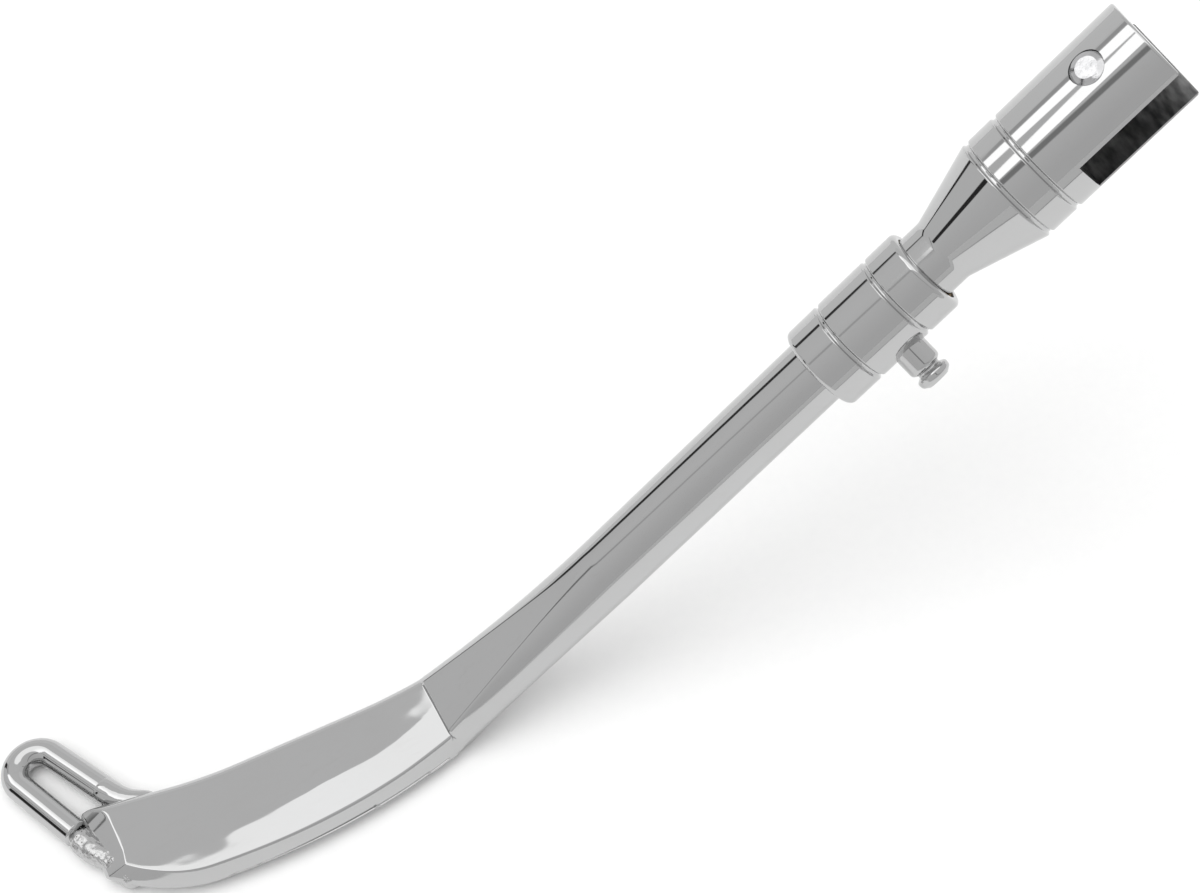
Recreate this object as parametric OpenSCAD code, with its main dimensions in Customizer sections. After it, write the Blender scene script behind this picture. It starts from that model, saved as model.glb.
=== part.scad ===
// Side stand leg for a motorcycle: a slotted clevis head on a cross pin, a grooved collar
// with a spring post, a forged leg that flattens into a ground blade, and a toe loop.
// Origin: centre of the cross pin. +Z is up with the stand down, the leg runs towards -X,
// and the toe loop points towards +Y, the front of the motorcycle.

/* [Leg] */
// Slope of the round leg below the horizontal when the stand is down, degrees
lean = 33; // [25:1:40]
// Diameter of the round bar that the leg is forged from
bar_d = 19.05; // [18:0.05:20]
// Distance along the leg from the cross pin to the knee, where the blade starts
knee_reach = 250; // [240:1:300]
// Length of the stretch that tapers from round to flat above the knee
taper_len = 66; // [50:1:80]

/* [Blade] */
// Thickness of the ground blade
blade_t = 10; // [9:0.5:11]
// How far the rounding of the blade's rear edge reaches in over its face
rear_round = 2.6; // [2:0.1:4]
// How far the rounding of the blade's front edge reaches in over its face
front_round = 3.9; // [2:0.1:4.5]
// Distance from the knee to the tip of the blade along X
blade_len = 103; // [98:1:105]

/* [Head] */
// Diameter of the clevis head
head_d = 31.75; // [30:0.25:34]
// Distance from the cross pin to the open end of the head
head_end = 15; // [14:0.5:18]
// Width of the slot that takes the frame lug
slot_w = 12.7; // [10:0.1:14]
// Depth of the slot from the open end
slot_depth = 33.1; // [30:0.1:36]
// Diameter of the cross pin
pin_d = 9.525; // [8:0.005:10]
// Radial running clearance of the cross pin in the head
pin_gap = 0.05; // [0.02:0.01:0.08]

/* [Collar] */
// Outside diameter of the collar
collar_d = 25.4; // [24:0.1:27]
// Length of the collar
collar_len = 39.1; // [36:0.1:42]
// Diameter of the spring post
post_d = 9.5; // [9:0.1:10]
// Height of the spring post above the collar
post_h = 11.2; // [10:0.1:12]
// Angle round the leg from the top of the cross pin to the spring post, degrees
post_turn = 125; // [100:1:150]

/* [Toe loop] */
// Diameter of the loop's rod
rod_d = 7.94; // [7:0.02:8.2]
// Radius of the loop's bend, at the rod's centre
loop_r = 6.4; // [6.2:0.1:7]
// Heading of the loop, degrees from +X towards +Y
loop_heading = 115; // [112:1:122]

/* [Hidden] */
$fn = 64;
eps = 0.01;

head_r = head_d / 2;
bar_r = bar_d / 2;
pin_r = pin_d / 2;
collar_r = collar_d / 2;
rod_r = rod_d / 2;

// Stations along the leg, measured from the cross pin towards the foot
groove_1 = 25.7;
groove_2 = groove_1 + 9.5;
cone_top = groove_2 + 1.4;
cone_end = cone_top + 21.5;
collar_top = cone_end + 6.6;
collar_end = collar_top + collar_len;
joint_at = collar_top + 11.4;
post_at = collar_top + collar_len / 2 - 1.6;
taper_at = knee_reach - taper_len;

// Grooves turned round the head and the collar
groove_r = 0.9;
groove_depth = 0.65;

// Hidden joint between the head and the leg
stud_d = 9.525;
stud_half = 17;
spigot_gap = 0.75;
rim_depth = 1.6;
post_seat_d = 6.35;
post_seat_r = 5.6;

// Cross pin
pin_half = head_r - 0.15;
pin_chamfer = 1.7;

// Knee and blade in the part's own axes
knee_x = -knee_reach * cos(lean);
knee_z = -knee_reach * sin(lean);
tip_x = knee_x - blade_len;
bevel_run = 7;
bevel_rise = 5;
shoulder_back = 21.5;

// Toe loop: the centre of its bend in plan, and its legs back from the bend
loop_x = knee_x - 108.9;
loop_y = 45;
loop_spread = 2;
loop_leg = 23;
rod_z = knee_z - blade_t / 2 + rod_r;

// Welds between the loop and the blade, in plan
weld_start = [tip_x - 2.7, 20.5];
weld_stop = [tip_x + 5.5, 4];
weld_bow = 0.3;
weld_steps = 16;

function lerp(a, b, u) = a + (b - a) * u;

// Puts a child drawn along +Z, with +Z towards the open end of the head, on the leg's axis
module on_leg() {
  rotate([0, 90 - lean, 0])
    children();
}

module ring_groove(r, at) {
  translate([0, 0, -at])
    rotate_extrude()
      translate([r - groove_depth + groove_r, 0])
        circle(r = groove_r, $fn = 32);
}

module pivot_pin() {
  flat_r = pin_r - pin_chamfer;
  color("silver")
    on_leg()
      rotate([0, 90, 0])
        rotate_extrude()
          polygon([
            [0, -pin_half],
            [flat_r, -pin_half],
            [pin_r, -pin_half + pin_chamfer],
            [pin_r, pin_half - pin_chamfer],
            [flat_r, pin_half],
            [0, pin_half]
          ]);
}

module clevis_head() {
  edge = 0.5;
  color("gainsboro")
    on_leg()
      difference() {
        rotate_extrude()
          polygon([
            [0, head_end],
            [head_r - edge, head_end],
            [head_r, head_end - edge],
            [head_r, -cone_top],
            [bar_r, -cone_end],
            [bar_r, -joint_at],
            [0, -joint_at]
          ]);
        ring_groove(head_r, groove_1);
        ring_groove(head_r, groove_2);
        // slot for the frame lug
        translate([-slot_w / 2, -head_d, head_end - slot_depth])
          cube([slot_w, 2 * head_d, slot_depth + 1]);
        // holes for the cross pin
        rotate([0, 90, 0])
          cylinder(r = pin_r + pin_gap, h = 2 * head_d, center = true);
        // blind hole for the joint stud
        translate([0, 0, -joint_at - eps])
          cylinder(d = stud_d, h = stud_half + eps);
      }
}

module joint_stud() {
  color("dimgray")
    on_leg()
      translate([0, 0, -joint_at - stud_half])
        cylinder(d = stud_d, h = 2 * stud_half);
}

module braze_ring() {
  color("peru")
    on_leg()
      translate([0, 0, -collar_top - rim_depth])
        difference() {
          cylinder(r = bar_r + spigot_gap, h = rim_depth / 2);
          translate([0, 0, -1])
            cylinder(r = bar_r, h = rim_depth + 2);
        }
}

// Wall of the collar with both outer rims rounded
module collar_profile() {
  rim_r = 1.6;
  wall = collar_r - bar_r;
  translate([bar_r, -collar_end])
    square([wall - rim_r, collar_len]);
  translate([bar_r, -collar_end + rim_r])
    square([wall, collar_len - 2 * rim_r]);
  for (z = [-collar_end + rim_r, -collar_top - rim_r])
    translate([collar_r - rim_r, z])
      circle(r = rim_r);
}

module collar() {
  color("gainsboro")
    on_leg()
      difference() {
        rotate_extrude()
          collar_profile();
        ring_groove(collar_r, collar_top + 10.7);
        ring_groove(collar_r, collar_end - 11.2);
        // open rim that holds the braze
        translate([0, 0, -collar_top - rim_depth])
          cylinder(r = bar_r + spigot_gap, h = rim_depth + 1);
        post_hole();
      }
}

// Puts a child drawn along +Z on the spring post's axis, at the leg's axis
module on_post() {
  translate([0, 0, -post_at])
    rotate([0, 0, 180 + post_turn])
      rotate([0, 90, 0])
        children();
}

module post_hole() {
  on_post()
    translate([0, 0, post_seat_r])
      cylinder(d = post_seat_d, h = collar_d);
}

module spring_post() {
  top = collar_r + post_h;
  button_t = 4.2;
  waist_r = 3.4;
  body_top = top - button_t;
  color("silver")
    on_leg()
      on_post()
        difference() {
          union() {
            translate([0, 0, post_seat_r])
              cylinder(d = post_seat_d, h = collar_r - post_seat_r);
            // body above the collar, with a rounded shoulder
            translate([0, 0, collar_r - 1.2])
              cylinder(d = post_d, h = body_top - collar_r - 0.4);
            translate([0, 0, body_top - 1.6])
              cylinder(r1 = post_d / 2, r2 = waist_r, h = 1.6);
            translate([0, 0, body_top - eps])
              cylinder(r = waist_r, h = 0.6);
            // round button that keeps the spring's hook on
            translate([0, 0, body_top + 0.5])
              cylinder(r1 = waist_r, r2 = post_d / 2 + 0.1, h = 1.3);
            translate([0, 0, body_top + 1.8])
              cylinder(r = post_d / 2 + 0.1, h = 0.9);
            translate([0, 0, body_top + 2.7])
              cylinder(r1 = post_d / 2 + 0.1, r2 = 3.3, h = button_t - 2.7);
          }
          // the collar's own round surface under the post
          rotate([0, 90, 0])
            difference() {
              cylinder(r = collar_r, h = 30, center = true);
              rotate([0, -90, 0])
                cylinder(d = post_seat_d, h = 2 * collar_d, center = true);
            }
        }
}

// --- Forged leg ---------------------------------------------------------------------------

// Zero before a place and a straight slope after it, with a round change between them
function ramp(u, at, soft) =
  u < at - soft ? 0 : u > at + soft ? u - at : pow(u - at + soft, 2) / (4 * soft);

// Edges of the blade in plan, as offsets along Y at a distance u from the knee
function near_edge(u) =
  -15.3 + 0.0024 * pow(u - 45, 2) + 0.012 * pow(max(0, u - 75), 2);
function far_edge(u) = 14.4 + 0.057 * ramp(u, 12, 8) + 0.17 * ramp(u, 68, 10);

// How far the top of the blade rises towards the knee, at a distance u from it
function knee_rise(u) = 1.3 * pow(max(0, 1 - u / 18), 3);

// One cross section: flat above and below from f0 to f1, with a round side out to y0 and y1
function section(y0, f0, f1, y1, top, bottom) = concat(
  round_side(f1, y1 - f1, top, bottom, 1),
  round_side(f0, f0 - y0, top, bottom, -1)
);

// Arc from the top face to the bottom face that bulges by sag, to the right or to the left
function round_side(at, sag, top, bottom, side) =
  let (
    half = (top + bottom) / 2,
    r = (half * half + sag * sag) / (2 * sag),
    reach = acos((r - sag) / r)
  )
    [
      for (i = [0:side_steps])
        let (a = side * reach * (2 * i / side_steps - 1))
          [at + side * (sag - r + r * cos(a)), (top - bottom) / 2 + r * sin(a)]
    ];
side_steps = 12;

// Puts a cross section on a station of the leg: [x, z] of the centre and its slope in degrees
function placed(pts, at, slope) = [
  for (p = pts)
    [at[0] - p[1] * sin(slope), p[0], at[1] + p[1] * cos(slope)]
];

// Round to flat above the knee, for k from 0 at the round bar to 1 at the knee
function taper_section(k) =
  section(
    lerp(-bar_r, near_edge(0), k * k) + eps,
    lerp(-eps, near_edge(0) + rear_round, k),
    lerp(eps, far_edge(0) - front_round, k),
    lerp(bar_r, far_edge(0), k * k) - eps,
    lerp(bar_r, blade_t / 2 + knee_rise(0), k) - eps,
    lerp(bar_r, blade_t / 2, k) - eps
  );

// Centre line of the knee, as a parabola that is tangent to the leg and to the blade
function bend_point(v) = [
  knee_x + bend_run * (pow(1 - v, 2) * cos(lean) - pow(v, 2)),
  knee_z + bend_run * pow(1 - v, 2) * sin(lean)
];

taper_steps = 12;
bend_steps = 5;
bend_run = 1.9;
blade_steps = 20;
overrun = 2;

leg_rings = concat(
  [
    for (i = [0:taper_steps])
      let (d = lerp(taper_at, knee_reach - bend_run, i / taper_steps))
        placed(
          taper_section(i / taper_steps),
          [-d * cos(lean), -d * sin(lean)],
          lean
        )
  ],
  [
    for (i = [1:bend_steps])
      let (v = i / (bend_steps + 1))
        placed(
          taper_section(1),
          bend_point(v),
          atan2((1 - v) * sin(lean), (1 - v) * cos(lean) + v)
        )
  ],
  [
    for (i = [0:blade_steps])
      let (
        u = lerp(bend_run, blade_len + overrun, i / blade_steps),
        y0 = near_edge(u),
        y1 = far_edge(u)
      )
        placed(
          section(
            y0, y0 + rear_round, y1 - front_round, y1, blade_t / 2 + knee_rise(u), blade_t / 2
          ),
          [knee_x - u, knee_z],
          0
        )
  ]
);

// Closed skin over a row of rings with the same number of points
module skin(rings) {
  n = len(rings[0]);
  last = len(rings) - 1;
  polyhedron(
    points = [for (ring = rings) each ring],
    faces = concat(
      [[for (j = [n - 1:-1:0]) j]],
      [[for (j = [0:n - 1]) last * n + j]],
      [
        for (k = [0:last - 1], j = [0:n - 1])
          let (a = k * n + j, b = k * n + (j + 1) % n)
            [a, b, a + n]
      ],
      [
        for (k = [0:last - 1], j = [0:n - 1])
          let (a = k * n + j, b = k * n + (j + 1) % n)
            [b, b + n, a + n]
      ]
    )
  );
}

// Puts a child drawn with +X out of the loop's bend at the bend's centre
module on_loop() {
  translate([loop_x, loop_y, rod_z])
    rotate([0, 0, loop_heading])
      children();
}

// End of the blade: square across the leg, square across the loop, and bevelled on top
module tip_cut() {
  big = 60;
  translate([tip_x - big, -big, knee_z - big / 2])
    cube([big, 2 * big, big]);
  on_loop()
    translate([-shoulder_back, -big, -big / 2])
      cube([big, 2 * big, big]);
  translate([tip_x + bevel_run, -big, knee_z + blade_t / 2])
    rotate([0, -atan(bevel_rise / bevel_run), 0])
      translate([-big, 0, 0])
        cube([big, 2 * big, big / 2]);
}

module leg() {
  color("gainsboro")
    difference() {
      union() {
        on_leg()
          translate([0, 0, -taper_at - 0.5])
            cylinder(r = bar_r, h = taper_at - joint_at + 0.5);
        skin(leg_rings);
      }
      on_leg() {
        // blind hole for the joint stud
        translate([0, 0, -joint_at - stud_half])
          cylinder(d = stud_d, h = stud_half + 1);
        post_hole();
      }
      tip_cut();
    }
}

// --- Toe loop -----------------------------------------------------------------------------

module toe_loop() {
  color("silver")
    on_loop() {
      rotate([0, 0, -90 - loop_spread])
        rotate_extrude(angle = 180 + 2 * loop_spread)
          translate([loop_r, 0])
            circle(r = rod_r, $fn = 48);
      for (side = [-1, 1])
        rotate([0, 0, side * (90 + loop_spread)])
          translate([loop_r, 0, 0])
            rotate([side * -90, 0, 0])
              cylinder(r = rod_r, h = loop_leg);
    }
}

// Ring round a point of a bead that runs in plan at an angle
function bead_ring(at, heading, r) = [
  for (j = [0:bead_sides - 1])
    let (a = -360 * j / bead_sides)
      at + r * [-sin(heading) * cos(a), cos(heading) * cos(a), sin(a)]
];
bead_sides = 20;

// Rough bead between the near leg of the loop and the end of the blade
module tip_weld() {
  run = weld_stop - weld_start;
  heading = atan2(run[1], run[0]);
  rings = [
    for (i = [0:weld_steps])
      let (
        v = i / weld_steps,
        bow = weld_bow * 4 * v * (1 - v),
        dome = sqrt(1 - pow(0.995 * (2 * v - 1), 10))
      )
        bead_ring(
          [weld_start[0] + v * run[0] - bow, weld_start[1] + v * run[1] - bow / 2, rod_z],
          heading,
          dome * (lerp(3.5, 2.9, v) + 0.25 * sin(900 * v))
        )
  ];
  color("gray")
    skin(rings);
}

// Smooth bead, ground flush, that carries the far leg of the loop onto the blade's far edge
module edge_weld() {
  start = [loop_x + 13.9, loop_y - 13.3, rod_z];
  stop = [tip_x + 21, 19.5, rod_z + 0.4];
  run = stop - start;
  heading = atan2(run[1], run[0]);
  rings = [
    for (i = [0:weld_steps])
      let (v = i / weld_steps, dome = sqrt(1 - pow(0.995 * (2 * v - 1), 10)))
        bead_ring(start + v * run, heading, dome * lerp(rod_r - 0.1, 1.8, v))
  ];
  color("gray")
    skin(rings);
}

pivot_pin();
clevis_head();
joint_stud();
braze_ring();
collar();
spring_post();
leg();
toe_loop();
tip_weld();
edge_weld();
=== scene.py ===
"""Looks of the motorcycle side stand leg: detailed meshes, plated metal, studio light and camera."""

import math

import bpy
import numpy as np
from mathutils import Matrix, Vector, noise


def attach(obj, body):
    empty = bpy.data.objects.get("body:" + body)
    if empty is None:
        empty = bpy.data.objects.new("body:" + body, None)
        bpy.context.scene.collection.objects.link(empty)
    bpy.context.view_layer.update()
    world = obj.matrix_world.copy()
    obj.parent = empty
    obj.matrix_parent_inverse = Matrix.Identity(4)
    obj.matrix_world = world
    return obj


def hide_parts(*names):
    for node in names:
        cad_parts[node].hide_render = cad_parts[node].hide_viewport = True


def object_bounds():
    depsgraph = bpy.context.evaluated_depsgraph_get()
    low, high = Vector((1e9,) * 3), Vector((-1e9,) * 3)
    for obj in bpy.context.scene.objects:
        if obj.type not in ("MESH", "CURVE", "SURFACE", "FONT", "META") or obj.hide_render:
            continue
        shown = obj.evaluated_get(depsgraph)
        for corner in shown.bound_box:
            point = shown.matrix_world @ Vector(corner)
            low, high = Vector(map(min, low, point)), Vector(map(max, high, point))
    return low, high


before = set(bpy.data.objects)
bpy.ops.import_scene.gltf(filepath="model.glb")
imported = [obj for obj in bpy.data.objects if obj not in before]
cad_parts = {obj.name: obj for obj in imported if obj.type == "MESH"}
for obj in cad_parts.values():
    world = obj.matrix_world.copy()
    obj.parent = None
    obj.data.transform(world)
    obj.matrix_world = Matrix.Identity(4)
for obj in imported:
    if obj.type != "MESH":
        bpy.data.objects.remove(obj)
cad_low, cad_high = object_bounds()
MM = 0.001

# Driving sizes of the part, in millimetres, as in the CAD source. Heights from HEAD_END to POST_AT
# count from the cross pin's centre and fall towards the foot. KNEE_REACH and TAPER_AT are distances.
LEAN = math.radians(33)
BAR_R = 9.525
HEAD_R = 15.875
COLLAR_R = 12.7
PIN_R = 4.7625
ROD_R = 3.97
HEAD_END = 15.0
SLOT_HALF = 6.35
SLOT_BOTTOM = -18.1
GROOVE_1 = -25.7
GROOVE_2 = -35.2
CONE_TOP = -36.6
CONE_END = -58.1
COLLAR_TOP = -64.7
COLLAR_END = -103.8
JOINT_AT = -76.1
POST_AT = -82.65
POST_TURN = math.radians(305)
KNEE_REACH = 250.0
TAPER_AT = 184.0
BLADE_LEN = 103.0
BLADE_HALF = 5.0
REAR_ROUND = 2.6
FRONT_ROUND = 3.9
BEND_RUN = 1.9
LOOP_R = 6.4
LOOP_LEG = 23.0
LOOP_SPREAD = math.radians(2)
LOOP_HEADING = math.radians(115)

COS, SIN = math.cos(LEAN), math.sin(LEAN)
KNEE_X, KNEE_Z = -KNEE_REACH * COS, -KNEE_REACH * SIN
TIP_X = KNEE_X - BLADE_LEN
LOOP_X, LOOP_Y = KNEE_X - 108.9, 45.0
ROD_Z = KNEE_Z - BLADE_HALF + ROD_R
FLOOR_Z = KNEE_Z - BLADE_HALF + 0.01
PIN_GAP = 0.06

# Axes of the turned pieces: columns are the local X, Y and Z in the part's own frame
LEG_AXES = np.array([[SIN, 0, -COS], [0, 1, 0], [COS, 0, SIN]]).T
POST_DIR = LEG_AXES @ np.array([math.cos(POST_TURN), math.sin(POST_TURN), 0])
POST_SIDE = LEG_AXES[:, 2]
POST_AXES = np.array([POST_SIDE, np.cross(POST_DIR, POST_SIDE), POST_DIR]).T
PIN_AXES = np.array([[0, 1, 0], LEG_AXES[:, 2], LEG_AXES[:, 0]]).T


# ---------------------------------------------------------------- materials

def link(tree, value, socket):
    """Puts a number, colour or another node's output on a socket."""
    if isinstance(value, bpy.types.NodeSocket):
        tree.links.new(value, socket)
    else:
        socket.default_value = value


def add(tree, kind, values=(), out=0, **props):
    """Adds a node, sets its properties and its inputs, and returns one of its outputs."""
    n = tree.nodes.new(kind)
    for key, value in props.items():
        setattr(n, key, value)
    for key, value in dict(values).items():
        link(tree, value, n.inputs[key])
    return n.outputs[out]


def maths(tree, operation, a, b=0.0, c=0.0):
    """One math node on up to three values."""
    return add(tree, "ShaderNodeMath", {0: a, 1: b, 2: c}, operation=operation)


def remap(tree, value, low, high, to_low, to_high, smooth=False):
    """Moves a value from one range to another, and stops at the ends."""
    kind = "SMOOTHSTEP" if smooth else "LINEAR"
    values = {"Value": value, "From Min": low, "From Max": high, "To Min": to_low, "To Max": to_high}
    return add(tree, "ShaderNodeMapRange", values, interpolation_type=kind)


def inside(tree, value, centre, half, soft):
    """1 where value is within half of centre, falling to 0 over soft."""
    gap = maths(tree, "ABSOLUTE", maths(tree, "SUBTRACT", value, centre))
    return remap(tree, gap, half, half + soft, 1.0, 0.0, True)


def blend(tree, amount, colour_a, colour_b):
    """Goes from one colour to the other as the amount goes from 0 to 1."""
    values = {0: amount, 6: colour_a, 7: colour_b}
    return add(tree, "ShaderNodeMix", values, out=2, data_type="RGBA")


def new_material(name):
    """A material with its node tree, its shader and the object's coordinates."""
    mat = bpy.data.materials.new(name)
    mat.use_nodes = True
    tree = mat.node_tree
    shader = tree.nodes["Principled BSDF"]
    where = add(tree, "ShaderNodeTexCoord", out="Object")
    return mat, tree, shader, where


def cloud(tree, where, scale, detail, rough=0.5):
    """Noise from 0 to 1 with about `scale` features to the metre."""
    values = {"Vector": where, "Scale": scale, "Detail": detail, "Roughness": rough}
    return add(tree, "ShaderNodeTexNoise", values, out="Fac")


def along(tree, where, stretch, tilt):
    """Coordinates turned about Y onto the leg, and then stretched along each axis."""
    turned = add(tree, "ShaderNodeVectorRotate", {"Vector": where, "Angle": tilt}, rotation_type="Y_AXIS")
    return add(tree, "ShaderNodeVectorMath", {0: turned, 1: stretch}, operation="MULTIPLY")


def bumps(tree, layers):
    """Stacks bump layers, each a height, a strength and a distance in metres."""
    normal = None
    for height, strength, distance in layers:
        values = {"Height": height, "Strength": strength, "Distance": distance}
        if normal is not None:
            values["Normal"] = normal
        normal = add(tree, "ShaderNodeBump", values)
    return normal


LEG_TILT = -(math.pi / 2 - LEAN)


def chrome(name, wave, tilt=LEG_TILT, worn=0.5):
    """Bright chrome plate: a soft waviness, faint polishing lines, thin haze and a few wipe marks."""
    mat, tree, shader, where = new_material(name)
    shader.inputs["Metallic"].default_value = 1.0
    patches = cloud(tree, where, 38, 4)
    lines = cloud(tree, along(tree, where, (2600, 2600, 60), tilt), 1.0, 2)
    smears = cloud(tree, along(tree, where, (90, 420, 240), tilt + 0.6), 1.0, 5, 0.62)
    veil = remap(tree, smears, 0.52, 0.78, 0.0, 1.0, True)
    rough = remap(tree, patches, 0.3, 0.75, 0.035, 0.06)
    rough = maths(tree, "MULTIPLY_ADD", veil, 0.05 * worn, rough)
    rough = maths(tree, "MULTIPLY_ADD", lines, 0.015, rough)
    link(tree, rough, shader.inputs["Roughness"])
    tone = maths(tree, "MULTIPLY_ADD", veil, 0.35 * worn, maths(tree, "MULTIPLY", patches, 0.5))
    colour = blend(tree, tone, (0.585, 0.588, 0.590, 1), (0.535, 0.532, 0.527, 1))
    link(tree, colour, shader.inputs["Base Color"])
    swell = cloud(tree, where, 55, 1.0, 0.4)
    peel = cloud(tree, where, 420, 2)
    normal = bumps(tree, [(swell, 1.0, wave), (peel, 1.0, 0.0000012), (lines, 1.0, 0.0000002)])
    link(tree, normal, shader.inputs["Normal"])
    return mat


def milled(name):
    """Bare milled steel: cutter marks across the slot, dull streaks and a few stains."""
    mat, tree, shader, where = new_material(name)
    shader.inputs["Metallic"].default_value = 1.0
    marks = cloud(tree, along(tree, where, (90, 90, 2400), LEG_TILT), 1.0, 3)
    streaks = cloud(tree, along(tree, where, (160, 160, 520), LEG_TILT), 1.0, 4)
    stains = cloud(tree, where, 110, 5, 0.6)
    tone = maths(tree, "MULTIPLY_ADD", streaks, 0.7, maths(tree, "MULTIPLY", stains, 0.4))
    clean = remap(tree, tone, 0.35, 0.78, 0.0, 1.0, True)
    colour = blend(tree, clean, (0.13, 0.13, 0.133, 1), (0.42, 0.42, 0.42, 1))
    link(tree, colour, shader.inputs["Base Color"])
    link(tree, remap(tree, streaks, 0.3, 0.7, 0.30, 0.46), shader.inputs["Roughness"])
    link(tree, bumps(tree, [(marks, 1.0, 0.00001), (streaks, 0.8, 0.00001)]), shader.inputs["Normal"])
    return mat


def turned_steel(name):
    """Polished pin steel: an uneven skin with fine scratches."""
    mat, tree, shader, where = new_material(name)
    shader.inputs["Metallic"].default_value = 1.0
    blotch = cloud(tree, where, 420, 4, 0.6)
    scratches = cloud(tree, along(tree, where, (5200, 5200, 300), LEG_TILT), 1.0, 2)
    link(tree, remap(tree, blotch, 0.3, 0.7, 0.07, 0.2), shader.inputs["Roughness"])
    colour = blend(tree, blotch, (0.66, 0.66, 0.665, 1), (0.50, 0.50, 0.51, 1))
    link(tree, colour, shader.inputs["Base Color"])
    link(tree, bumps(tree, [(blotch, 1.0, 0.00007), (scratches, 1.0, 0.0000008)]), shader.inputs["Normal"])
    return mat


def weld_metal(name):
    """Plated weld: rough solidified ripples and spatter pits, with painted shade that darkens each pit to
    near black.
    """
    mat, tree, shader, where = new_material(name)
    shader.inputs["Metallic"].default_value = 1.0
    ripple = cloud(tree, where, 900, 4, 0.6)
    grit = cloud(tree, where, 2600, 3, 0.6)
    pits_and_pit_shade = add(tree, "ShaderNodeTexVoronoi", {"Vector": where, "Scale": 700}, out="Distance")
    level = remap(tree, pits_and_pit_shade, 0.0, 0.22, 0.0, 1.0, True)
    # Painted shade: the colour goes near black at the centre of each pit, where the bump sinks it
    colour = blend(tree, level, (0.05, 0.042, 0.035, 1), (0.57, 0.57, 0.57, 1))
    link(tree, colour, shader.inputs["Base Color"])
    link(tree, remap(tree, grit, 0.3, 0.7, 0.08, 0.24), shader.inputs["Roughness"])
    layers = [(ripple, 1.0, 0.00016), (grit, 1.0, 0.00002), (level, 0.6, 0.00006)]
    link(tree, bumps(tree, layers), shader.inputs["Normal"])
    return mat


def braze(name):
    """Stained braze filler: brown and bronze patches with a grainy skin."""
    mat, tree, shader, where = new_material(name)
    shader.inputs["Metallic"].default_value = 0.75
    patch = cloud(tree, where, 600, 5, 0.65)
    grain = cloud(tree, where, 3000, 3)
    bronze = remap(tree, patch, 0.35, 0.65, 0.0, 1.0, True)
    colour = blend(tree, bronze, (0.05, 0.035, 0.02, 1), (0.33, 0.22, 0.10, 1))
    link(tree, colour, shader.inputs["Base Color"])
    link(tree, remap(tree, grain, 0.3, 0.7, 0.35, 0.65), shader.inputs["Roughness"])
    link(tree, bumps(tree, [(patch, 1.0, 0.0002), (grain, 1.0, 0.00003)]), shader.inputs["Normal"])
    return mat


CHROME_TURNED = chrome("chrome_turned", wave=0.00002)
CHROME_FORGED = chrome("chrome_forged", wave=0.00006, worn=0.7)
CHROME_ROD = chrome("chrome_rod", wave=0.00006, tilt=0.0)
MILLED = milled("milled_steel")
PIN_STEEL = turned_steel("pin_steel")
WELD = weld_metal("plated_weld")
BRAZE = braze("braze_filler")


# ---------------------------------------------------------------- mesh helpers

def make(name, points, faces, normals, materials, body, nodes):
    """Makes one smooth mesh from points in millimetres, and puts it on its body if it has one."""
    mesh = bpy.data.meshes.new(name)
    mesh.from_pydata((np.asarray(points) * MM).tolist(), [], faces)
    mesh.polygons.foreach_set("use_smooth", [True] * len(mesh.polygons))
    for mat in materials:
        mesh.materials.append(mat)
    mesh.update()
    if normals is not None:
        mesh.normals_split_custom_set_from_vertices(np.asarray(normals).tolist())
    obj = bpy.data.objects.new(name, mesh)
    bpy.context.scene.collection.objects.link(obj)
    if body:
        finish_piece(obj, body, nodes)
    return obj


def finish_piece(obj, body, nodes):
    """Ties a piece to its body, and hides the CAD nodes that it replaces."""
    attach(obj, body)
    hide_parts(*nodes)


def fillet(corners, steps=6):
    """Rounds the corners (r, z, radius) of a profile, and gives each point with its normal."""
    pts = [np.array(c[:2], float) for c in corners]
    out = []

    def outward(d):
        return np.array([d[1], -d[0]]) / np.linalg.norm(d)

    for i, p in enumerate(pts):
        if i in (0, len(pts) - 1):
            d = pts[1] - pts[0] if i == 0 else pts[-1] - pts[-2]
            out.append((p, outward(d)))
            continue
        d0, d1 = p - pts[i - 1], pts[i + 1] - p
        n0 = outward(d0)
        turn = math.atan2(d0[0] * d1[1] - d0[1] * d1[0], float(d0 @ d1))
        back = corners[i][2] * abs(math.tan(turn / 2))
        start = p - d0 / np.linalg.norm(d0) * back
        radius = corners[i][2] * (1 if turn > 0 else -1)
        centre = start - n0 * radius
        for k in range(steps + 1):
            c, s = math.cos(turn * k / steps), math.sin(turn * k / steps)
            n = np.array([n0[0] * c - n0[1] * s, n0[0] * s + n0[1] * c])
            out.append((centre + n * radius, n))
    return out


def revolve(profile, axes, origin=(0, 0, 0), segments=144, closed=False):
    """Turns a profile of (point, normal) about the local Z. Returns points, faces and normals."""
    ring = 2 * math.pi * np.arange(segments) / segments
    points, normals, faces = [], [], []
    for (r, z), (nr, nz) in profile:
        for a in ring:
            points.append((r * math.cos(a), r * math.sin(a), z))
            normals.append((nr * math.cos(a), nr * math.sin(a), nz))
    rows = len(profile)
    for i in range(rows if closed else rows - 1):
        k = (i + 1) % rows
        for j in range(segments):
            n = (j + 1) % segments
            faces.append((i * segments + j, i * segments + n, k * segments + n, k * segments + j))
    if not closed:
        faces.append(tuple(range(segments - 1, -1, -1)))
        faces.append(tuple((rows - 1) * segments + j for j in range(segments)))
    return np.array(points) @ axes.T + np.array(origin), faces, np.array(normals) @ axes.T


def groove(r, z, wide=0.9, deep=0.65):
    """Corners of a turned groove with rounded shoulders, from its lower edge to its upper edge."""
    return [
        (r, z - wide, 0.35), (r - deep, z - 0.4 * wide, 0.45),
        (r - deep, z + 0.4 * wide, 0.45), (r, z + wide, 0.35),
    ]


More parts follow.
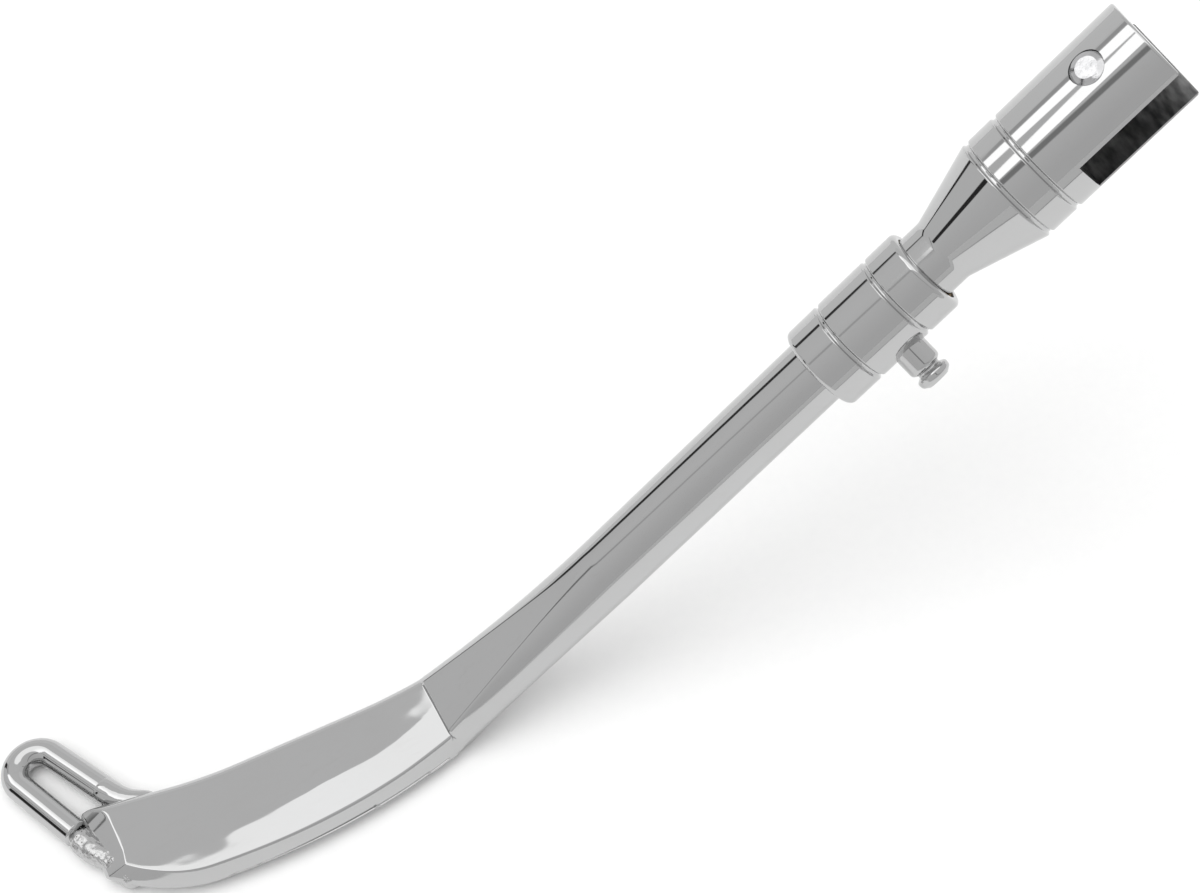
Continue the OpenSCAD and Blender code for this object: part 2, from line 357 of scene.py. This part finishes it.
def grid_faces(rows, ring):
    """Faces of a closed skin over rows of ring points, with a cap at each end."""
    faces = []
    for i in range(rows - 1):
        for j in range(ring):
            n = (j + 1) % ring
            faces.append((i * ring + j, i * ring + n, (i + 1) * ring + n, (i + 1) * ring + j))
    faces.append(tuple(range(ring - 1, -1, -1)))
    faces.append(tuple((rows - 1) * ring + j for j in range(ring)))
    return faces


# ---------------------------------------------------------------- clevis head

HEAD_PROFILE = fillet([
    (0.001, JOINT_AT, 0), (BAR_R, JOINT_AT, 0.2), (BAR_R, CONE_END, 5.0), (HEAD_R, CONE_TOP + 0.2, 0.8),
    *groove(HEAD_R, GROOVE_2), *groove(HEAD_R, GROOVE_1), (HEAD_R, HEAD_END, 0.72), (0.001, HEAD_END, 0),
])


def cutter(name, points, faces):
    """A plain mesh on no body, to be carved or to carve with."""
    return make(name, points, faces, None, [], None, None)


def slot_cutter():
    """The slot's milling cut, with a small chamfer where its walls leave the head."""
    mouth, flare, reach = 14.15, 3.4, 20
    rings = []
    for z, wider in ((SLOT_BOTTOM, 0), (HEAD_END - 0.35, 0), (HEAD_END + 0.4, 0.75), (HEAD_END + 8, 0.75)):
        h = SLOT_HALF + wider
        wall = [(h + flare, reach), (h, mouth), (h, -mouth), (h + flare, -reach)]
        ring = wall + [(-x, y) for x, y in reversed(wall)]
        rings += [(x, y, z) for x, y in reversed(ring)]
    return cutter("slot_cut", np.array(rings) @ LEG_AXES.T, grid_faces(4, 8))


def hole_cutter():
    """The cross pin's bore, cut right through the head."""
    count, past = 96, 30
    r = PIN_R + PIN_GAP
    turns = 2 * math.pi * np.arange(count) / count
    rings = [[(x, r * math.cos(t), r * math.sin(t)) for t in turns] for x in (-past, past)]
    return cutter("pin_hole_cut", np.array(rings).reshape(-1, 3) @ LEG_AXES.T, grid_faces(2, count))


def carve(obj, cutters):
    """Cuts the cutters out of the mesh, and deletes them."""
    for c in cutters:
        m = obj.modifiers.new(c.name, "BOOLEAN")
        m.operation = "DIFFERENCE"
        m.solver = "EXACT"
        m.object = c
    bpy.context.view_layer.update()
    graph = bpy.context.evaluated_depsgraph_get()
    mesh = bpy.data.meshes.new_from_object(obj.evaluated_get(graph), depsgraph=graph)
    obj.modifiers.clear()
    old = obj.data
    obj.data = mesh
    bpy.data.meshes.remove(old)
    for c in cutters:
        bpy.data.objects.remove(c)


def nearest_normals(rz, profile):
    """Distance of each (r, z) point to the profile, and the profile's normal there."""
    p = np.array([q[0] for q in profile])
    n = np.array([q[1] for q in profile])
    a, b = p[:-1], p[1:]
    d = b - a
    length2 = np.maximum((d * d).sum(1), 1e-12)
    t = np.clip(((rz[:, None] - a) * d).sum(2) / length2, 0, 1)
    near = a + t[..., None] * d
    gap = np.linalg.norm(rz[:, None] - near, axis=2)
    best = gap.argmin(1)
    rows = np.arange(len(rz))
    k = t[rows, best][:, None]
    return gap[rows, best], n[best] * (1 - k) + n[best + 1] * k


def make_head():
    """The turned head with its slot and bore. Each face gets the normals of the cut that made it."""
    points, faces, _ = revolve(HEAD_PROFILE, LEG_AXES, segments=180)
    obj = cutter("head", points, faces)
    carve(obj, [slot_cutter(), hole_cutter()])
    mesh = obj.data
    mesh.materials.clear()
    mesh.materials.append(CHROME_TURNED)
    mesh.materials.append(MILLED)
    local = np.array([v.co for v in mesh.vertices]) / MM @ LEG_AXES
    radius = np.hypot(local[:, 0], local[:, 1])
    gap, rz = nearest_normals(np.stack([radius, local[:, 2]], 1), HEAD_PROFILE)
    safe = np.maximum(radius, 1e-6)
    turned = np.stack([rz[:, 0] * local[:, 0] / safe, rz[:, 0] * local[:, 1] / safe, rz[:, 1]], 1)
    loops = np.zeros((len(mesh.loops), 3))
    for poly in mesh.polygons:
        flat = np.array(poly.normal) @ LEG_AXES
        ids = list(poly.vertices)
        spread = (turned[ids] @ flat).min()
        middle = local[ids].mean(0)
        off_bore = abs(np.hypot(local[ids, 1], local[ids, 2]) - PIN_R - PIN_GAP).max()
        bored = off_bore < 0.02 and abs(flat[0]) < 0.1
        if gap[ids].max() < 0.03 and spread > 0.93:
            values = turned[ids]
            poly.material_index = 0
        elif bored:
            values = -local[ids] / (PIN_R + PIN_GAP)
            values[:, 0] = 0
            poly.material_index = 0
        else:
            values = np.repeat(flat[None], len(ids), 0)
            edge = abs(middle[1]) > 14.1 and abs(flat[1]) > 0.2
            poly.material_index = 0 if edge else 1
        loops[poly.loop_start:poly.loop_start + len(ids)] = values @ LEG_AXES.T
    mesh.polygons.foreach_set("use_smooth", [True] * len(mesh.polygons))
    mesh.normals_split_custom_set(loops.tolist())
    finish_piece(obj, "stand", ["clevis_head"])


make_head()


# ---------------------------------------------------------------- cross pin, collar, post

def make_turned(
    name, corners, axes, mat, body, node, origin=(0, 0, 0), segments=144, closed=False,
):
    """A turned piece from the corners of its profile. A closed profile makes a sleeve."""
    profile = fillet(corners)
    if closed:
        profile = profile[:-1]
    points, faces, normals = revolve(profile, axes, origin, segments, closed)
    return make(name, points, faces, normals, [mat], body, [node])


PIN_HALF = HEAD_R - 0.07
make_turned(
    "cross_pin",
    [
        (0.001, -PIN_HALF, 0), (3.05, -PIN_HALF, 0.3), (PIN_R, -PIN_HALF + 0.7, 0.35),
        (PIN_R, PIN_HALF - 0.7, 0.35), (3.05, PIN_HALF, 0.3), (0.001, PIN_HALF, 0),
    ],
    PIN_AXES, PIN_STEEL, "pivot", "pivot_pin", segments=96,
)

# The collar sits a little off the bar's axis, towards the post, as the open seam shows
BORE_R = BAR_R + 0.55
COLLAR_SHIFT = 0.42
LIP_Z = COLLAR_TOP - 1.5
make_turned(
    "collar_sleeve",
    [
        (BORE_R - 0.2, LIP_Z, 0), (BORE_R - 0.2, COLLAR_END, 0.3), (COLLAR_R, COLLAR_END, 1.5),
        *groove(COLLAR_R, COLLAR_END + 11.2), *groove(COLLAR_R, COLLAR_TOP - 10.7),
        (COLLAR_R, COLLAR_TOP, 1.5), (BORE_R + 0.2, COLLAR_TOP, 0.3), (BORE_R + 0.2, LIP_Z, 0.2),
        (BORE_R - 0.2, LIP_Z, 0),
    ],
    LEG_AXES, CHROME_TURNED, "stand", "collar",
    origin=POST_DIR * COLLAR_SHIFT, closed=True,
)

POST_TOP = COLLAR_R + 11.2
make_turned(
    "spring_post_turned",
    [
        (0.001, 9, 0), (4.75, 9, 0.2), (4.75, POST_TOP - 5.2, 1.4), (3.35, POST_TOP - 4.3, 0.35),
        (3.35, POST_TOP - 3.75, 0.35), (4.95, POST_TOP - 2.9, 0.9), (4.75, POST_TOP - 1.1, 1.1),
        (3.1, POST_TOP, 0.6), (0.001, POST_TOP, 0),
    ],
    POST_AXES, CHROME_TURNED, "stand", "spring_post",
    origin=LEG_AXES[:, 2] * POST_AT, segments=96,
)


def make_braze():
    """Uneven filler in the open seam: a thin ring that wanders up and down."""
    rows, ring = 8, 160
    pts = []
    for i in range(rows):
        b = 2 * math.pi * i / rows
        for j in range(ring):
            a = 2 * math.pi * j / ring
            seat = Vector((math.cos(a) * 2.2, math.sin(a) * 2.2, 1.7))
            lift = 0.35 * noise.noise(seat) + 0.15 * noise.noise(seat * 4)
            r = BAR_R + 0.30 + 0.42 * math.cos(b)
            pts.append((r * math.cos(a), r * math.sin(a), COLLAR_TOP - 1.1 + 0.4 * math.sin(b) + lift))
    faces = []
    for i in range(rows):
        k = (i + 1) % rows
        for j in range(ring):
            n = (j + 1) % ring
            faces.append((i * ring + j, i * ring + n, k * ring + n, k * ring + j))
    pts = np.array(pts) @ LEG_AXES.T + POST_DIR * COLLAR_SHIFT / 2
    make("braze_filler_ring", pts, faces, None, [BRAZE], "stand", ["braze_ring"])


make_braze()


# ---------------------------------------------------------------- forged leg

def ramp(u, at, soft):
    """0 before at, then a rise of one to one, with a round start."""
    if u < at - soft:
        return 0.0
    if u > at + soft:
        return u - at
    return (u - at + soft) ** 2 / (4 * soft)


def mix(a, b, t):
    """Goes from a to b as t goes from 0 to 1."""
    return a + (b - a) * t


def soft_min(a, b, k):
    """Smaller of two values, with a round change between them."""
    h = min(max(0.5 + 0.5 * (b - a) / k, 0), 1)
    return mix(b, a, h) - k * h * (1 - h)


def rear_edge(u):
    """Y of the blade's rear edge, u millimetres past the knee."""
    return -15.3 + 0.0024 * (u - 45) ** 2 + 0.012 * max(0, u - 75) ** 2


def shoulder(x):
    """Y of the cut across the blade's end that faces the loop."""
    return LOOP_Y + (-21.5 - math.cos(LOOP_HEADING) * (x - LOOP_X)) / math.sin(LOOP_HEADING)


def front_edge(u):
    """Y of the blade's front edge, u millimetres past the knee."""
    full = 14.4 + 0.057 * ramp(u, 12, 8) + 0.17 * ramp(u, 68, 10)
    return soft_min(full, shoulder(KNEE_X - u), 1.5) if u > 80 else full


def knee_rise(u):
    """How much thicker the blade is on top, close to the knee."""
    return 2.1 * max(0, 1 - u / 28) ** 2.2


def side_arc(at, sag, top, bottom, side, count, ridged=0.0):
    """Side of a section: an arc or, as ridged goes to 1, two faces that meet at a soft ridge."""
    half = (top + bottom) / 2
    r = (half * half + sag * sag) / (2 * sag)
    reach = math.acos(max(-1, min(1, (r - sag) / r)))
    out = []
    for i in range(count + 1):
        a = side * reach * (2 * i / count - 1)
        h = r * math.sin(a)
        keel = sag * (1 - ((h / half) ** 2 + 0.02) ** 0.58)
        bulge = mix(sag - r + r * math.cos(a), keel, ridged)
        out.append((at + side * bulge, (top - bottom) / 2 + h))
    return out


FLAT_COUNT, ARC_COUNT = 28, 36


def section(y0, f0, f1, y1, top, bottom, ridged):
    """Section from y0 to y1, flat from f0 to f1, its edges eased. It starts at the lower front edge."""
    front = side_arc(f1, y1 - f1, top, bottom, 1, ARC_COUNT)
    rear = side_arc(f0, f0 - y0, top, bottom, -1, ARC_COUNT, ridged)
    over = [(mix(f1, f0, i / FLAT_COUNT), top) for i in range(1, FLAT_COUNT)]
    under = [(mix(f0, f1, i / FLAT_COUNT), -bottom) for i in range(1, FLAT_COUNT)]
    ring = np.array(front + over + rear + under)
    for _ in range(2):
        ring = (np.roll(ring, 1, 0) + 2 * ring + np.roll(ring, -1, 0)) / 4
    return ring


def place(ring, x, z, slope):
    """Stands a section up across the leg at x and z, turned by the leg's slope."""
    c, s = math.cos(slope), math.sin(slope)
    return np.stack([x - ring[:, 1] * s, ring[:, 0], z + ring[:, 1] * c], 1)


def taper(k):
    """Section between the round bar, at 0, and the flat knee, at 1."""
    return section(
        mix(-BAR_R, rear_edge(0), k * k), mix(-0.3, rear_edge(0) + REAR_ROUND, k),
        mix(0.3, front_edge(0) - FRONT_ROUND, k), mix(BAR_R, front_edge(0), k * k),
        mix(BAR_R, BLADE_HALF + knee_rise(0), k) - 0.004, mix(BAR_R, BLADE_HALF, k) - 0.004, k ** 3,
    )


def blade(u):
    """Section of the blade: its top falls away to the rear, and its tip is bevelled and rounded."""
    y0, y1 = rear_edge(u), front_edge(u)
    rear_round = REAR_ROUND + 0.006 * max(0, u - 76) ** 2
    top = BLADE_HALF + knee_rise(u)
    ring = section(y0, y0 + rear_round, y1 - FRONT_ROUND, y1, top, BLADE_HALF, 1.0)
    y, h = ring[:, 0].copy(), ring[:, 1].copy()
    dent_depth = 0.05
    dents = [dent_depth * noise.noise(Vector((u * 0.11, v * 0.19, 0))) for v in y]
    fade = 1 / (1 + math.exp((u - 62) / 9))
    behind = np.clip(0.02 * (45 - u) - 3.2 - y + 5.5 * math.exp(-u / 9), 0, 14)
    fall = 0.062 * fade * behind ** 1.35
    h -= np.where(h > 0, fall - np.array(dents) * min(1, u / 8), 0)
    # The bevel is a slanted face that starts later near both edges, and its crease is soft
    start = 95.6 + 3.6 * (np.clip(y - 17, 0, 10) / 8.5) ** 2 + 1.5 * np.clip(6 - y, 0, 8) / 8
    bevel_slope, crease = 0.66, 0.1
    plane = BLADE_HALF - (u - start) * bevel_slope
    over = (h - plane) / crease
    h -= crease * np.logaddexp(0, np.clip(over, -40, 400)) * (over > -12)
    end_run = 1.2
    end = max(0, (u - (BLADE_LEN - end_run)) / end_run)
    if end > 0:
        shrink = math.sqrt(max(0, 1 - min(1, end) ** 2)) * 0.75 + 0.25
        y = y.mean() + (y - y.mean()) * (1 - 0.12 * (1 - shrink))
        h = -1.6 + (h + 1.6) * shrink
    return np.stack([y, h], 1)


def make_leg():
    """One skin over the bar, the taper, the bend at the knee and the blade."""
    rows = []
    span = KNEE_REACH - BEND_RUN
    bar = [np.linspace(-JOINT_AT, TAPER_AT - 2, 20), np.linspace(TAPER_AT - 1, span, 70)]
    for d in np.concatenate(bar):
        k = max(0.0, (d - TAPER_AT) / (span - TAPER_AT))
        rows.append(place(taper(k), -d * COS, -d * SIN, LEAN))
    for v in np.linspace(0, 1, 18)[1:-1]:
        x = KNEE_X + BEND_RUN * ((1 - v) ** 2 * COS - v * v)
        z = KNEE_Z + BEND_RUN * (1 - v) ** 2 * SIN
        slope = math.atan2((1 - v) * SIN, (1 - v) * COS + v)
        before, after = taper(1.0), blade(0.0)
        rows.append(place(before + (after - before) * v, x, z, slope))
    foot = [np.linspace(BEND_RUN, 24, 40), np.linspace(24.8, 92, 70), np.linspace(92.4, BLADE_LEN, 50)]
    for u in np.concatenate(foot):
        rows.append(place(blade(u), KNEE_X - u, KNEE_Z, 0))
    ring = len(rows[0])
    make(
        "forged_leg", np.concatenate(rows), grid_faces(len(rows), ring), None, [CHROME_FORGED],
        "stand", ["leg"],
    )


make_leg()


# ---------------------------------------------------------------- toe loop and welds

def loop_point(ahead, across):
    """A point of the rod's centre line, from its place along the loop's heading and across it."""
    c, s = math.cos(LOOP_HEADING), math.sin(LOOP_HEADING)
    return np.array([LOOP_X + c * ahead - s * across, LOOP_Y + s * ahead + c * across, ROD_Z])


def tube(path, radii, ring, name, mat, node, rough=None):
    """Round tube along a path, its skin moved by rough() and kept above the ground."""
    path = np.array(path)
    heading = np.gradient(path, axis=0)
    heading /= np.linalg.norm(heading, axis=1)[:, None]
    rows = []
    for p, d, r in zip(path, heading, radii):
        side = np.array([-d[1], d[0], 0])
        side /= np.linalg.norm(side)
        up = np.cross(d, side)
        row = []
        for j in range(ring):
            a = 2 * math.pi * j / ring
            n = side * math.cos(a) + up * math.sin(a)
            q = p + n * r
            if rough:
                q = q + n * rough(q, n)
            q[2] = max(q[2], FLOOR_Z)
            row.append(q)
        rows.append(np.array(row))
    return make(name, np.concatenate(rows), grid_faces(len(rows), ring), None, [mat], "stand", [node])


def make_loop():
    """The toe loop: two rods that spread a little, joined by a half turn."""
    path = []
    lean = LOOP_SPREAD

    def leg_point(back, side):
        return loop_point(
            -LOOP_R * math.sin(lean) - back * math.cos(lean),
            side * (LOOP_R * math.cos(lean) + back * math.sin(lean)),
        )

    for back in np.linspace(LOOP_LEG, 0.3, 60):
        path.append(leg_point(back, 1))
    for t in np.linspace(math.pi / 2 + lean, -math.pi / 2 - lean, 90):
        path.append(loop_point(LOOP_R * math.cos(t), LOOP_R * math.sin(t)))
    for back in np.linspace(0.3, LOOP_LEG, 60):
        path.append(leg_point(back, -1))
    tube(path, [ROD_R - 0.01] * len(path), 64, "toe_loop_rod", CHROME_ROD, "toe_loop")


make_loop()


def lumps(scale, size):
    """Makes a function for tube() that lifts the skin in lumps of three sizes."""
    def skin(point, outward):
        v = Vector(point) * scale
        return size * (noise.noise(v) + 0.45 * noise.noise(v * 2.3) + 0.2 * noise.noise(v * 5.1))
    return skin


BEAD_STEPS = np.linspace(0, 1, 90)


def rounded_ends(power):
    """Goes from 0 to 1 and back to 0 along a bead. A higher power makes blunter ends."""
    return np.sqrt(1 - (0.999 * (2 * BEAD_STEPS - 1)) ** power)


def make_tip_weld():
    """The rough bead along the blade's tip, with a pinhole."""
    t = BEAD_STEPS
    start, stop = np.array([TIP_X - 2.6, 20.8]), np.array([TIP_X + 7.8, -2.2])
    bow = 0.8 * np.sin(2 * math.pi * t)
    path = [(*(start + (stop - start) * v - np.array([b, b / 2])), ROD_Z) for v, b in zip(t, bow)]
    waist = 0.4 * np.exp(-((t - 0.42) / 0.12) ** 2)
    swell = 0.12 * np.sin(2 * math.pi * 3.5 * t)
    radii = rounded_ends(12) * (mix(3.7, 3.9, t) - waist + swell)
    ripple = lumps(0.75, 0.36)
    pit = np.array([TIP_X + 4.4, 7.2, ROD_Z + 3.0])

    def rough(point, outward):
        hole = 0.9 * math.exp(-float(((point - pit) ** 2).sum()) / 0.5)
        upper = 1 / (1 + math.exp(-6 * (outward[2] - 0.25)))
        return min(ripple(point, outward) * (0.25 + 0.75 * upper), 0.25) - hole

    tube(path, radii, 72, "tip_weld_bead", WELD, "tip_weld", rough)


def make_edge_weld():
    """The smooth bead that carries the far rod onto the blade's front edge, bowed towards the blade."""
    start = np.array([LOOP_X + 13.9, LOOP_Y - 13.3, ROD_Z])
    stop = np.array([TIP_X + 21, 19.5, ROD_Z + 0.6])
    bow = np.array([0.9, 1.3, -0.3])
    path = [start + (stop - start) * v - bow * 1.5 * math.sin(math.pi * v) for v in BEAD_STEPS]
    radii = rounded_ends(10) * mix(ROD_R + 0.25, 2.5, BEAD_STEPS)
    skin = lumps(0.3, 0.05)
    tube(path, radii, 56, "edge_weld_bead", CHROME_FORGED, "edge_weld", skin)


make_tip_weld()
make_edge_weld()

# The stud is sealed inside the neck and the bar, and keeps its CAD shape
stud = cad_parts["joint_stud"]
stud.data.materials.clear()
stud.data.materials.append(PIN_STEEL)


# ---------------------------------------------------------------- floor, light, camera

def make_floor():
    """A table top, evenly pale to the camera. In reflections its colour carries painted shade: a dark line
    along its rear and a painted fall-off to grey behind that.
    """
    mat, tree, shader, where = new_material("pale_floor")
    grain = cloud(tree, where, 400, 4)
    split = tree.nodes.new("ShaderNodeSeparateXYZ")
    tree.links.new(where, split.inputs[0])
    # Painted shade, seen only in reflections: the floor goes grey past its rear, as if the light fell off
    # there, with a painted dark line along that edge
    shade_falloff_mask = remap(tree, split.outputs[1], -0.415, -0.405, 1.0, 0.0, True)
    edge = inside(tree, split.outputs[1], -0.42, 0.014, 0.012)
    pale = blend(tree, grain, (0.88, 0.88, 0.88, 1), (0.91, 0.91, 0.905, 1))
    grey = blend(tree, shade_falloff_mask, (0.80, 0.80, 0.80, 1), (0.55, 0.55, 0.55, 1))
    dark = blend(tree, edge, grey, (0.30, 0.30, 0.30, 1))
    seen = add(tree, "ShaderNodeLightPath", out="Is Camera Ray")
    link(tree, blend(tree, seen, dark, pale), shader.inputs["Base Color"])
    link(tree, remap(tree, grain, 0, 1, 0.55, 0.7), shader.inputs["Roughness"])
    link(tree, bumps(tree, [(grain, 0.3, 0.00005)]), shader.inputs["Normal"])
    z = cad_low.z - 0.0002
    half = 4.0
    mesh = bpy.data.meshes.new("floor")
    corners = [(-half, -half, z), (half, -half, z), (half, half, z), (-half, half, z)]
    mesh.from_pydata(corners, [], [(0, 1, 2, 3)])
    mesh.materials.append(mat)
    obj = bpy.data.objects.new("floor", mesh)
    bpy.context.scene.collection.objects.link(obj)


def make_world():
    """A grey studio: a big softbox overhead, a paler wall towards +Y, and thin dark gaps."""
    world = bpy.data.worlds.new("studio")
    bpy.context.scene.world = world
    world.use_nodes = True
    tree = world.node_tree
    background = tree.nodes["Background"]
    where = add(tree, "ShaderNodeTexCoord", out="Generated")
    split = tree.nodes.new("ShaderNodeSeparateXYZ")
    tree.links.new(where, split.inputs[0])
    x, y, z = split.outputs

    def all_of(*masks):
        """1 only where all of the masks are 1."""
        out = masks[0]
        for m in masks[1:]:
            out = maths(tree, "MULTIPLY", out, m)
        return out

    def shade(tone, mask, level):
        """Moves the tone to a level where the mask is 1."""
        kept = maths(tree, "MULTIPLY", tone, maths(tree, "SUBTRACT", 1.0, mask))
        return maths(tree, "ADD", kept, maths(tree, "MULTIPLY", mask, level))

    def below(value, limit, soft=0.01):
        """1 under the limit and 0 over it, with a soft change."""
        return remap(tree, value, limit - soft, limit + soft, 1.0, 0.0, True)

    def above(value, limit, soft=0.01):
        """1 over the limit and 0 under it, with a soft change."""
        return remap(tree, value, limit - soft, limit + soft, 0.0, 1.0, True)

    azimuth = maths(tree, "ARCTAN2", y, x)
    height = maths(tree, "MAXIMUM", z, 0.05)
    # Where a direction meets a level ceiling, one unit up
    ceiling_x, ceiling_y = maths(tree, "DIVIDE", x, height), maths(tree, "DIVIDE", y, height)
    diagonal = maths(tree, "ADD", ceiling_x, ceiling_y)
    side_tone = remap(tree, y, -0.9, 0.2, 0.585, 0.675)
    tone = maths(tree, "ADD", side_tone, remap(tree, z, 0.3, 0.75, 0.0, 0.03))

    wall = all_of(inside(tree, azimuth, 1.32, 0.80, 0.01), below(z, 0.52, 0.03))
    tone = shade(tone, wall, 0.76)
    gap = all_of(inside(tree, azimuth, 2.135, 0.042, 0.022), below(z, 0.47, 0.03))
    tone = shade(tone, gap, 0.04)
    low_band = all_of(below(z, 0.42, 0.03), above(z, 0.06, 0.02))
    upright = all_of(inside(tree, azimuth, 2.97, 0.065, 0.03), low_band)
    tone = shade(tone, upright, 0.03)

    near_side = above(ceiling_x, -0.865)
    frame_edge = all_of(inside(tree, diagonal, -1.2, 0.09, 0.08), near_side, above(z, 0.3))
    tone = shade(tone, frame_edge, 0.26)
    far_side = below(ceiling_x, -0.885)
    faint_edge = all_of(inside(tree, diagonal, -1.15, 0.03, 0.06), far_side, above(z, 0.3))
    tone = shade(tone, faint_edge, remap(tree, ceiling_x, -1.5, -1.2, 0.10, 0.48))
    slope = maths(tree, "MULTIPLY_ADD", ceiling_x, 0.6, ceiling_y)
    rim = all_of(inside(tree, slope, 0.72, 0.12, 0.1), near_side, below(ceiling_x, -0.55, 0.1))
    tone = shade(tone, rim, 0.45)
    panel = all_of(below(ceiling_x, 0.6), below(slope, 0.49), above(ceiling_y, -0.22))
    softbox = all_of(near_side, panel, above(z, 0.3))
    tone = shade(tone, softbox, remap(tree, ceiling_x, -0.55, -0.25, 1.75, 1.36))
    width = maths(tree, "MULTIPLY_ADD", ceiling_x, -1.4, -0.92)
    offset = maths(tree, "ABSOLUTE", maths(tree, "SUBTRACT", ceiling_y, 0.31))
    in_hole = below(maths(tree, "SUBTRACT", offset, width), 0.0, 0.02)
    hole = all_of(in_hole, near_side, above(z, 0.3))
    tone = shade(tone, hole, 0.66)
    tree.links.new(tone, background.inputs["Color"])


def make_lights():
    """A wide overhead fill for the floor, kept out of the chrome's reflections."""
    data = bpy.data.lights.new("overhead_fill", "SUN")
    data.angle = math.radians(70)
    data.energy = 1.3
    obj = bpy.data.objects.new("overhead_fill", data)
    obj.rotation_euler = (math.radians(12), math.radians(-10), 0)
    obj.visible_glossy = False
    bpy.context.scene.collection.objects.link(obj)


def make_camera():
    """The photograph's point of view, given by the picture's right and up directions."""
    data = bpy.data.cameras.new("camera")
    data.lens = 73.5
    data.sensor_width = 36
    obj = bpy.data.objects.new("camera", data)
    bpy.context.scene.collection.objects.link(obj)
    right, up = Vector((0.8854, -0.4537, -0.1012)), Vector((0.4250, 0.7021, 0.5714))
    back = right.cross(up).normalized()
    up = back.cross(right).normalized()
    rows = Matrix((right.normalized(), up, back)).transposed().to_4x4()
    obj.matrix_world = Matrix.Translation((-0.2688, -0.3439, 0.4652)) @ rows
    bpy.context.scene.camera = obj


make_floor()
make_world()
make_lights()
make_camera()
bpy.context.scene.view_settings.view_transform = "Standard"
